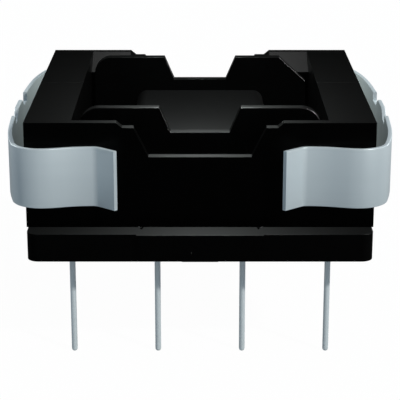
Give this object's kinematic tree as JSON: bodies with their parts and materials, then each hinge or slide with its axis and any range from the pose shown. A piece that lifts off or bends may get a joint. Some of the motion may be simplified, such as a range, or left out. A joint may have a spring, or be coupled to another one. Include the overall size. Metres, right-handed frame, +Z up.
{
  "type": "transformer bobbin",
  "caption": "Flat moulded transformer bobbin for a circuit board, unwound, with a ferrite core in two halves, spring clips that hold them together and rows of solder pins.",
  "frame": {"origin": "centre of the pin pattern, on the board plane under the stand-off feet", "axes": "+X along the pin rows, +Y from the front rail to the rear rail, along the winding axis, +Z up from the board"},
  "size_m": [0.0174, 0.0172, 0.0109],
  "materials": {
    "moulding": "moulded",
    "ferrite": "fired and ground",
    "spring_steel": "rolled",
    "tinned_pin": "tinned"
  },
  "bodies": {
    "root": {"coil_former": "moulding", "core_front": "ferrite", "core_rear": "ferrite", "clip_left": "spring_steel", "clip_right": "spring_steel", "pin_1": "tinned_pin", "pin_2": "tinned_pin", "pin_3": "tinned_pin", "pin_4": "tinned_pin", "pin_5": "tinned_pin", "pin_6": "tinned_pin", "pin_7": "tinned_pin", "pin_8": "tinned_pin"}
  },
  "joints": []
}
